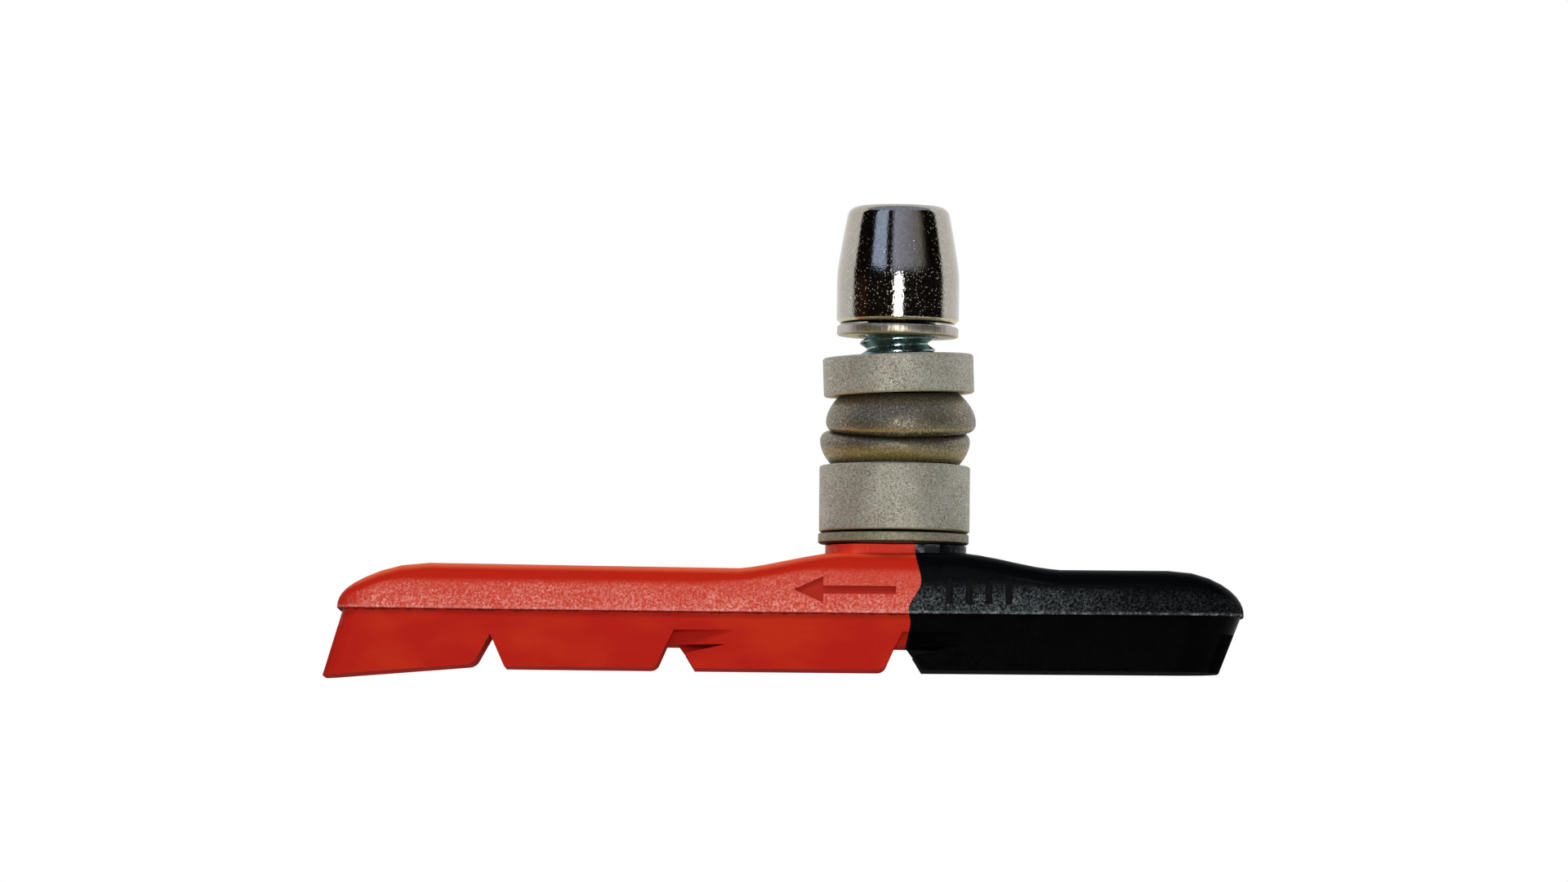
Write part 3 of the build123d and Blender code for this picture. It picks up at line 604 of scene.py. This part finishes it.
def lowered(piece):
    """Presses the upper body down in a cage: nothing at the parting line, all of it at the top."""
    rest()
    start, end, width, foot, top, points = -44.5, 27.5, 30.0, SEAM_Z, 8.4, 49
    bpy.ops.object.add(type="LATTICE", location=((start + end) / 2 * MM, 0, (foot + top) / 2 * MM))
    cage = bpy.context.object
    cage.scale = ((end - start) * MM, width * MM, (top - foot) * MM)
    cage.data.points_u, cage.data.points_v, cage.data.points_w = points, 1, 2
    cage.data.interpolation_type_w = "KEY_LINEAR"
    for point in cage.data.points:
        if point.co.z > 0:
            x = (start + end) / 2 + point.co.x * (end - start)
            point.co_deform.z -= between(TOP_DROP, x) / (top - foot)
    bpy.context.view_layer.update()
    modified(piece, "LATTICE", object=cage)
    bpy.data.objects.remove(cage)
    return piece


def channel_web(corner_x):
    """Rubber behind the slit of a channel, so that the slit is a blind groove in each flank."""
    return prism("web", [(corner_x + 0.97, 2.1), (corner_x + 0.97, 1.86), (corner_x + 1.52, 1.12),
                         (corner_x + 2.3, 0.7), (corner_x + 4.8, 0.7), (corner_x + 4.8, 2.1)], -3.0, 2.8)


def rounded_mouths(piece):
    """Rounds the edge of the braking face in front of the notch and of each channel."""
    close, across, low = 0.03, 5.0, 0.3
    edit_all(piece)
    bpy.ops.mesh.select_mode(type="EDGE")
    bpy.ops.mesh.select_all(action="DESELECT")
    bpy.ops.object.mode_set(mode="OBJECT")
    for edge in piece.data.edges:
        start, end = (piece.data.vertices[i].co / MM for i in edge.vertices)
        at_mouth = any(abs(start.x - x) < close and abs(end.x - x) < close for x in MOUTHS_X)
        edge.select = at_mouth and abs(start.y - end.y) > across and max(start.z, end.z) < low
    bpy.ops.object.mode_set(mode="EDIT")
    bpy.ops.mesh.bevel(offset=MOUTH_ROUND * MM, offset_type="OFFSET", segments=4, affect="EDGES",
                       clamp_overlap=True)
    bpy.ops.mesh.select_mode(type="VERT")
    bpy.ops.object.mode_set(mode="OBJECT")
    return piece


def moulded(node, name, corner_x):
    """One compound: the solid with a blind slit, its top pressed down and every sharp edge rounded."""
    rest()
    piece = bpy.data.objects.new(name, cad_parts[node].data.copy())
    bpy.context.scene.collection.objects.link(piece)
    take(piece)
    bpy.ops.mesh.customdata_custom_splitnormals_clear()
    edit_all(piece)
    bpy.ops.mesh.remove_doubles(threshold=SOLID_DOUBLES)
    bpy.ops.mesh.dissolve_limited(angle_limit=math.radians(0.4))
    bpy.ops.mesh.normals_make_consistent(inside=False)
    bpy.ops.object.mode_set(mode="OBJECT")
    combined(piece, channel_web(corner_x), "UNION")
    lowered(piece)
    rounded_mouths(piece)
    eased(piece, 0.1, 38)
    return smooth(piece, 40)


red_pad = moulded("pad_front_compound", "front_compound", -18.0)
dress(red_pad, red_rubber, "pad_and_post", "red_rubber", "pad_front_compound")
black_pad = moulded("pad_rear_compound", "rear_compound", -0.05)
dress(black_pad, black_rubber, "pad_and_post", "black_rubber", "pad_rear_compound")


# Washers
def flat_ring(name, outer, bore, height, edge):
    """Flat washer with a small chamfer round its rim, foot at zero."""
    return turned(name, [(bore, 0), (outer - edge, 0), (outer, edge), (outer, height - edge),
                         (outer - edge, height), (bore, height)])


def hollow_cup(name, height, bore, seat_r):
    """Cup with its ball seat upwards, foot at zero."""
    edge, bore_edge = 0.12, 0.15
    centre_z = height + math.sqrt(seat_r ** 2 - CUP_RIM_R ** 2)
    start = -math.degrees(math.acos(CUP_RIM_R / seat_r))
    end = -math.degrees(math.acos(bore / seat_r))
    seat = arc((0, centre_z), seat_r, start, end, 12)
    wall = [(bore + bore_edge, 0), (WASHER_R - edge, 0), (WASHER_R, edge), (WASHER_R, height - edge),
            (WASHER_R - edge, height)]
    return turned(name, wall + seat + [(bore, bore_edge)])


def ball_dome(name):
    """Dome washer about its ball's centre, ball downwards and flat face up."""
    bore, outer, roll, ball_edge = 4.2, 5.925, 0.72, 4.95
    widest = -FLAT_OFF - roll
    start = -math.degrees(math.acos(bore / BALL_R))
    end = -math.degrees(math.acos(ball_edge / BALL_R))
    rings = arc((0, 0), BALL_R, start, end, 8)
    # an S curve leads from the ball to the widest ring
    first, last = Vector(rings[-1]), Vector((outer, widest))
    reach = (last - first).length
    leave = Vector((-first[1], first[0])).normalized() * reach
    arrive = Vector((0, 1)) * reach
    steps = 12
    for step in range(1, steps + 1):
        t = step / steps
        point = (first * (2 * t ** 3 - 3 * t ** 2 + 1) + leave * (t ** 3 - 2 * t ** 2 + t)
                 + last * (-2 * t ** 3 + 3 * t ** 2) + arrive * (t ** 3 - t ** 2))
        rings.append((point[0], point[1]))
    rings += arc((outer - roll, widest), roll, 0, 90, 10)[1:]
    rings.append((bore, -FLAT_OFF))
    return turned(name, rings)


# both faces fall away slightly towards the rim, which leaves a thin dark gap above and below
base = turned("base_washer_ring", [
    (BASE_BORE_R, 0), (WASHER_R - 1.0, 0), (WASHER_R - 0.6, 0.05), (WASHER_R - 0.16, 0.07),
    (WASHER_R, 0.2), (WASHER_R, BASE_THICK - 0.14), (WASHER_R - 0.06, BASE_THICK - 0.09),
    (WASHER_R - 0.6, BASE_THICK - 0.07), (WASHER_R - 1.0, BASE_THICK), (BASE_BORE_R, BASE_THICK)])
shifted(base, BASE_X, 0, BASE_Z)
smooth(eased(base, 0.03))
dress(base, washer_steel, "pad_and_post", "flat_washer_steel", "base_washer")

tall_cup = shifted(hollow_cup("tall_cup", CUP_HEIGHT, CUP_BORE_R, LOWER_SEAT_R), CUP_X, 0, CUP_Z + 0.03)
# its near side stands a little up, which opens a dark gap on the washer below
leaned(tall_cup, "X", -0.8, (CUP_X, 0, CUP_Z))
smooth(eased(tall_cup, 0.04))
dress(tall_cup, cup_steel, "pad_and_post", "cup_steel", "lower_cup_washer")

lower_dome = shifted(ball_dome("lower_dome"), CUP_X, 0, LOWER_CENTRE_Z)
leaned(lower_dome, "X", DOME_LEAN, (CUP_X, 0, LOWER_CENTRE_Z))
smooth(eased(lower_dome, 0.06))
dress(lower_dome, dome_steel, "swivel_washers", "dome_steel", "lower_dome_washer")

upper_dome = leaned(ball_dome("upper_dome"), "X", 180, (0, 0, 0))
shifted(upper_dome, UPPER_DOME_X, 0, UPPER_CENTRE_Z)
leaned(upper_dome, "X", DOME_LEAN, (UPPER_DOME_X, 0, UPPER_CENTRE_Z))
smooth(eased(upper_dome, 0.06))
dress(upper_dome, dome_steel, "swivel_washers", "dome_steel", "upper_dome_washer")

low_cup = leaned(hollow_cup("low_cup", LOW_CUP_HEIGHT, LOW_CUP_BORE_R, UPPER_SEAT_R), "X", 180,
                 (0, 0, LOW_CUP_HEIGHT / 2))
shifted(low_cup, LOW_CUP_X, 0, UPPER_CUP_Z)
middle = (LOW_CUP_X, 0, UPPER_CUP_Z + LOW_CUP_HEIGHT / 2)
leaned(low_cup, "Y", -2.2, middle)
leaned(low_cup, "X", 0.3, middle)
smooth(eased(low_cup, 0.04))
dress(low_cup, cup_steel, "swivel_washers", "cup_steel", "upper_cup_washer")

nut_ring = flat_ring("small_zinc_washer", 4.8, 3.25, NUT_WASHER_THICK, 0.12)
shifted(nut_ring, 0, 0, NUT_WASHER_Z)
leaned(nut_ring, "Y", 0.8, (0, 0, NUT_WASHER_Z + NUT_WASHER_THICK / 2))
smooth(eased(nut_ring, 0.05, 25))
dress(nut_ring, washer_zinc, "hung_washer", "washer_zinc", "nut_washer")


# Nut
def sleeve_nut():
    """Sleeve nut: straight foot, bulging taper, rounded top, bore below and hexagon socket above."""
    foot_r, top_r, straight, bulge, corner_r = 4.85, 3.9, 3.9, 0.05, 0.9
    bore_r, bore_end, socket_r, sink_r, sink = 3.05, 5.32, 2.3, 2.98, 0.4
    across_flats, socket_end, key_length = 5.0, 5.25, 8.0

    def wall_r(z):
        t = (z - straight) / (NUT_HEIGHT - straight)
        return foot_r + (top_r - foot_r) * t + 4 * bulge * t * (1 - t)

    # a soft turn leads from the straight foot into the taper, with the taper's own slope at its end
    turn_end = straight + 0.85
    end_r = wall_r(turn_end)
    rise = 0.01
    slope = (wall_r(turn_end + rise) - end_r) / rise
    turn_length = 2 * (end_r - foot_r) / slope
    outline = [(bore_r, 0.0), (foot_r - 0.3, 0.0), (foot_r, 0.3), (foot_r, 0.42), (foot_r, 0.6)]
    turn_steps, wall_steps = 10, 15
    for step in range(turn_steps + 1):
        t = step / turn_steps
        outline.append((foot_r + (end_r - foot_r) * t * t, turn_end - turn_length * (1 - t)))
    for step in range(1, wall_steps):
        z = turn_end + (NUT_HEIGHT - corner_r - turn_end) * step / wall_steps
        outline.append((wall_r(z), z))
    end_slope = math.atan((top_r - wall_r(NUT_HEIGHT - sink)) / sink)
    centre_r = top_r - corner_r / math.cos(end_slope) - corner_r * math.tan(end_slope)
    outline += arc((centre_r, NUT_HEIGHT - corner_r), corner_r, -math.degrees(end_slope), 90, 10)
    outline += [(sink_r, NUT_HEIGHT), (socket_r, NUT_HEIGHT - sink), (socket_r, bore_end),
                (bore_r, bore_end)]
    piece = turned("sleeve_nut", [(r, z + NUT_Z) for r, z in outline], 256)
    rest()
    bpy.ops.mesh.primitive_cylinder_add(vertices=6, radius=across_flats / math.sqrt(3) * MM,
                                        depth=key_length * MM,
                                        location=(0, 0, (NUT_Z + socket_end + key_length / 2) * MM))
    closed(combined(piece, added("hexagon_key"), "DIFFERENCE"))
    return smooth(eased(piece, 0.05, 30), 30)


nut = sleeve_nut()
dress(nut, nut_chrome, "nut", "nut_chrome", "cap_nut")


# Post
def threaded_rod(start_z, end_z):
    """Rolled M6 x 1 thread: one pitch of its outline wound up the rod, cut off level at both ends."""
    crest, root, pitch = 2.98, 2.4, 1.0
    outline = [(crest, 0.0), (crest, 0.12), (root + 0.08, 0.44), (root, 0.5), (root, 0.62),
               (root + 0.08, 0.68), (crest, pitch)]
    # two turns more at either end, which the cuts take off
    turns = int((end_z - start_z) / pitch) + 4
    rod = drawn("threaded_rod", [(r, z + start_z - 2 * pitch) for r, z in outline])
    modified(rod, "SCREW", axis="Z", angle=2 * math.pi, screw_offset=pitch * MM, iterations=turns,
             steps=64, render_steps=64, use_merge_vertices=True, merge_threshold=1e-6,
             use_smooth_shade=True)
    for height, above in ((start_z, False), (end_z, True)):
        edit_all(rod)
        bpy.ops.mesh.bisect(plane_co=(0, 0, height * MM), plane_no=(0, 0, 1), use_fill=True,
                            clear_outer=above, clear_inner=not above)
    return closed(rod)


def post():
    """Post with its flat head in the pad, plain neck and rolled thread with a pointed end."""
    shank_r, tip_r, cone = 2.98, 2.4, 26.0
    rod = threaded_rod(9.4, POST_TOP_Z)
    rest()
    bpy.ops.mesh.primitive_cone_add(vertices=96, radius1=(tip_r + cone) * MM, radius2=tip_r * MM,
                                    depth=cone * MM, location=(0, 0, (POST_TOP_Z - cone / 2) * MM))
    combined(rod, added("pointing_cone"), "INTERSECT")
    neck = turned("neck", [(4.4, 4.05), (4.5, 4.15), (4.5, 5.15), (4.4, 5.25), (shank_r, 5.25),
                           (shank_r, 9.3), (2.6, 9.6)], 96, capped=True)
    combined(rod, neck, "UNION")
    rod.name = "post"
    closed(rod)
    return smooth(rod, 40)


stud = post()
dress(stud, post_zinc, "pad_and_post", "zinc_steel", "threaded_stud")

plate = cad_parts["backing_plate"]
for slot in plate.material_slots:
    slot.material = plate_steel


# Stage, light and camera
# where the tip and the rear edge stand, in millimetres, and the floor's gap under them, in metres
TIP_X, TIP_DROP, REAR_EDGE_X, FLOOR_GAP = -44.9, 0.9, 25.45, 0.00002
# the room that plated parts mirror, in metres
ROOM_R, ROOM_FOOT_Z, ROOM_TOP_Z, ROOM_BACK, CEILING_BACK = 0.3, -0.15, 0.35, 0.012, 0.1
LAMP_IMAGE_GLOW = 150.0
# the photo's scale, and its middle in millimetres; lift and roll of the camera are degrees
PHOTO_WIDTH_PX, PX_PER_MM = 1920, 15.5
PHOTO_CENTRE, PHOTO_LIFT, PHOTO_ROLL = (-8.90, 0, 18.15), -3.0, 0.57


def stage_material(name, build):
    """Material of the stage, its nodes made by build."""
    material = bpy.data.materials.new(name)
    material.use_nodes = True
    material.node_tree.nodes.clear()
    build(partial(add, material.node_tree))
    return material


def floor_nodes(put):
    """Pale table top that runs out into white. From below it lets the view through."""
    lit = put("BsdfDiffuse", {"Color": linear("#F2F2F2")})
    glow = put("Emission", {"Color": (1, 1, 1, 1), "Strength": 1.0})
    reach = put("VectorMath", [put("TexCoord", out="Object")], out=1, operation="LENGTH")
    top = put("MixShader", [put("MapRange", [reach, 0.1, 0.45, 0.45, 1.0], **SOFT), lit, glow])
    below = put("NewGeometry", out="Backfacing")
    put("OutputMaterial", [put("MixShader", [below, top, put("BsdfTransparent")])])


rest()
bpy.ops.mesh.primitive_plane_add(size=3.0)
floor = bpy.context.object
floor.name = "table_top"
# the pad stands on its tip and on its rear edge
slope = math.atan2(TIP_DROP, REAR_EDGE_X - TIP_X)
floor.rotation_euler = (0, -slope, 0)
floor.location = (0, 0, -REAR_EDGE_X * math.tan(slope) * MM - FLOOR_GAP)
floor.data.materials.append(stage_material("white_table_top", floor_nodes))


def band(put, value, low, high, soft_low, soft_high):
    """1 between low and high, with soft ends."""
    return put("Math", [put("MapRange", [value, low - soft_low, low + soft_low], **SOFT),
                        put("MapRange", [value, high + soft_high, high - soft_high], **SOFT)], **TIMES)


def room_nodes(put):
    """What plated parts mirror: a dark room, a pale blue window and a grey wall above eye level."""
    x, y, lift = put("SeparateXYZ", [put("TexCoord", out="Object")]).node.outputs
    turn = put("Math", [x, put("Math", [y, -1.0], **TIMES)], operation="ARCTAN2")
    turn = put("Math", [turn, 180 / math.pi], **TIMES)
    door = put("Math", [band(put, turn, -90, -62, 4, 4),
                        put("MapRange", [lift, 0.075, 0.055], **SOFT)], **TIMES)
    colour = put("Mix", {0: door, 6: linear("#120C08"), 7: linear("#341C12")}, out=2, **COLOUR)
    # the wall is bluish beside the window and fades to a warm grey
    paint = put("Mix", {0: put("MapRange", [turn, -12, 50]), 6: linear("#BEC4E2"),
                        7: linear("#84827A")}, out=2, **COLOUR)
    # the lower ends of wall and window run slanting
    falling = put("Math", [put("Math", [turn, -20.0], **PLUS), -0.0002], **TIMES)
    wall_foot = put("Math", [lift, falling], **PLUS)
    wall = put("Math", [band(put, turn, -12, 52, 3, 9),
                        put("MapRange", [wall_foot, 0.09, 0.115], **SOFT)], **TIMES)
    colour = put("Mix", {0: wall, 6: colour, 7: paint}, out=2, **COLOUR)
    rising = put("Math", [put("Math", [turn, 40.0], **PLUS), 0.0006], **TIMES)
    pane_foot = put("Math", [lift, rising], **PLUS)
    pane = put("Math", [band(put, turn, -53, -25, 2.5, 1.5),
                        put("MapRange", [pane_foot, 0.105, 0.118], **SOFT)], **TIMES)
    colour = put("Mix", {0: pane, 6: colour, 7: linear("#C4D8FF")}, out=2, **COLOUR)
    put("OutputMaterial", [put("Emission", {"Color": colour, "Strength": 1.0})])


def ceiling_nodes(put):
    """Pale ceiling of that room."""
    put("OutputMaterial", [put("Emission", {"Color": linear("#A8AEC6"), "Strength": 1.0})])


def mirrored_only(piece):
    """Marks a stage piece that is only seen in reflections."""
    piece.visible_camera = False
    piece.visible_diffuse = False
    piece.visible_transmission = False
    piece.visible_shadow = False


def reflector_room():
    """Open half cylinder with a ceiling in front of the part, only ever seen in its reflections."""
    rest()
    bpy.ops.mesh.primitive_cylinder_add(vertices=96, radius=ROOM_R, depth=ROOM_TOP_Z - ROOM_FOOT_Z,
                                        end_fill_type="NOTHING",
                                        location=(0, 0, (ROOM_TOP_Z + ROOM_FOOT_Z) / 2))
    room = added("reflected_room")
    edit_all(room)
    bpy.ops.mesh.bisect(plane_co=(0, ROOM_BACK, 0), plane_no=(0, 1, 0), clear_outer=True)
    bpy.ops.object.mode_set(mode="OBJECT")
    room.data.materials.append(stage_material("room_in_reflections", room_nodes))
    mirrored_only(room)
    rest()
    bpy.ops.mesh.primitive_circle_add(vertices=96, radius=ROOM_R, fill_type="NGON",
                                      location=(0, 0, ROOM_TOP_Z))
    ceiling = added("reflected_ceiling")
    edit_all(ceiling)
    bpy.ops.mesh.bisect(plane_co=(0, CEILING_BACK, 0), plane_no=(0, 1, 0), clear_outer=True)
    bpy.ops.object.mode_set(mode="OBJECT")
    ceiling.data.materials.append(stage_material("ceiling_in_reflections", ceiling_nodes))
    mirrored_only(ceiling)


reflector_room()


def mirrored_card(name, place, tilt, size, surface, build):
    """Flat card that is only ever seen in reflections."""
    rest()
    bpy.ops.mesh.primitive_plane_add(size=1.0, location=place, rotation=(tilt, 0, 0))
    card = bpy.context.object
    card.name = name
    card.scale = (*size, 1)
    card.data.materials.append(stage_material(surface, build))
    mirrored_only(card)


def card_nodes(put):
    """Warm wooden table in front of the part."""
    put("OutputMaterial", [put("Emission", {"Color": linear("#B5A568"), "Strength": 1.0})])


def lamp_nodes(put):
    """Small lamp in front of the part, brightest in its middle and fading out all round."""
    aside, height = put("SeparateXYZ", [put("TexCoord", out="Object")]).node.outputs[:2]
    glow = put("MapRange", [put("Math", [aside], **SIZE), 0.5, 0.0], **SOFT)
    in_height = put("MapRange", [put("Math", [height], **SIZE), 0.5, 0.0], **SOFT)
    glow = put("Math", [glow, in_height], **TIMES)
    glow = put("Math", [put("Math", [glow, 2.0], operation="POWER"), LAMP_IMAGE_GLOW], **TIMES)
    lit = put("Emission", {"Color": (1, 1, 1, 1), "Strength": glow})
    put("OutputMaterial", [put("AddShader", [lit, put("BsdfTransparent")])])


mirrored_card("lamp_in_reflections", (0, -0.28, 0.0476), math.pi / 2, (0.075, 0.042),
              "lamp_in_reflections", lamp_nodes)
mirrored_card("warm_table_card", (0, -0.165, 0), 0, (0.5, 0.3), "warm_table_in_reflections", card_nodes)


def white_world():
    """White wherever the camera, a reflection or a pane looks at it, and faint as a light."""
    world = bpy.data.worlds.new("white_room")
    bpy.context.scene.world = world
    world.use_nodes = True
    world.node_tree.nodes.clear()
    put = partial(add, world.node_tree)
    path = put("LightPath").node.outputs
    seen = put("Math", [path["Is Camera Ray"], path["Is Glossy Ray"]], operation="MAXIMUM")
    seen = put("Math", [seen, path["Is Transmission Ray"]], operation="MAXIMUM")
    strength = put("MapRange", [seen, 0.0, 1.0, 0.2, 1.0])
    put("OutputWorld", [put("Background", {"Color": (1, 1, 1, 1), "Strength": strength})])


white_world()


def lamp(name, turn, lift, distance, width, height, power, aim=(0, 0, 0.012)):
    """Softbox aimed at the part, which lights it without a mirror image.

    turn runs from the photographed side towards +X, lift from level up, both in degrees.
    """
    data = bpy.data.lights.new(name, "AREA")
    data.shape = "RECTANGLE"
    data.size = width
    data.size_y = height
    data.energy = power
    light = bpy.data.objects.new(name, data)
    bpy.context.scene.collection.objects.link(light)
    a, e = math.radians(turn), math.radians(lift)
    offset = Vector((math.sin(a) * math.cos(e), -math.cos(a) * math.cos(e), math.sin(e))) * distance
    light.location = Vector(aim) + offset
    light.rotation_euler = (-offset).to_track_quat("-Z", "Y").to_euler()
    light.visible_camera = False
    light.visible_glossy = False


lamp("key_softbox", -4, 52, 0.6, 0.22, 0.16, 1.9)
lamp("front_strip", 0, 3.4, 0.28, 0.04, 0.02, 0.2, aim=(0, 0, 0.031))
lamp("left_fill", -70, 25, 0.7, 0.4, 0.4, 0.3)
lamp("right_fill", 70, 25, 0.7, 0.4, 0.4, 0.3)
lamp("back_softbox", 180, 50, 0.7, 0.4, 0.4, 1.0)


def photo_camera():
    """Long lens, three degrees below the part, turned half a degree about its own axis."""
    data = bpy.data.cameras.new("photo_camera")
    data.lens = 250
    data.sensor_width = 36
    data.clip_start = 0.01
    data.clip_end = 20
    camera = bpy.data.objects.new("photo_camera", data)
    bpy.context.scene.collection.objects.link(camera)
    bpy.context.scene.camera = camera
    width = PHOTO_WIDTH_PX / PX_PER_MM * MM
    distance = width * data.lens / data.sensor_width
    lift, roll = math.radians(PHOTO_LIFT), math.radians(PHOTO_ROLL)
    away = Vector((0, math.cos(lift), -math.sin(lift)))
    right = Vector((1, 0, 0))
    up = right.cross(away)
    rolled_right = right * math.cos(roll) + up * math.sin(roll)
    rolled_up = up * math.cos(roll) - right * math.sin(roll)
    place = Vector(PHOTO_CENTRE) * MM - away * distance
    turn = Matrix((rolled_right, rolled_up, -away)).transposed().to_4x4()
    camera.matrix_world = Matrix.Translation(place) @ turn


photo_camera()
scene = bpy.context.scene
scene.view_settings.view_transform = "Standard"
rest()
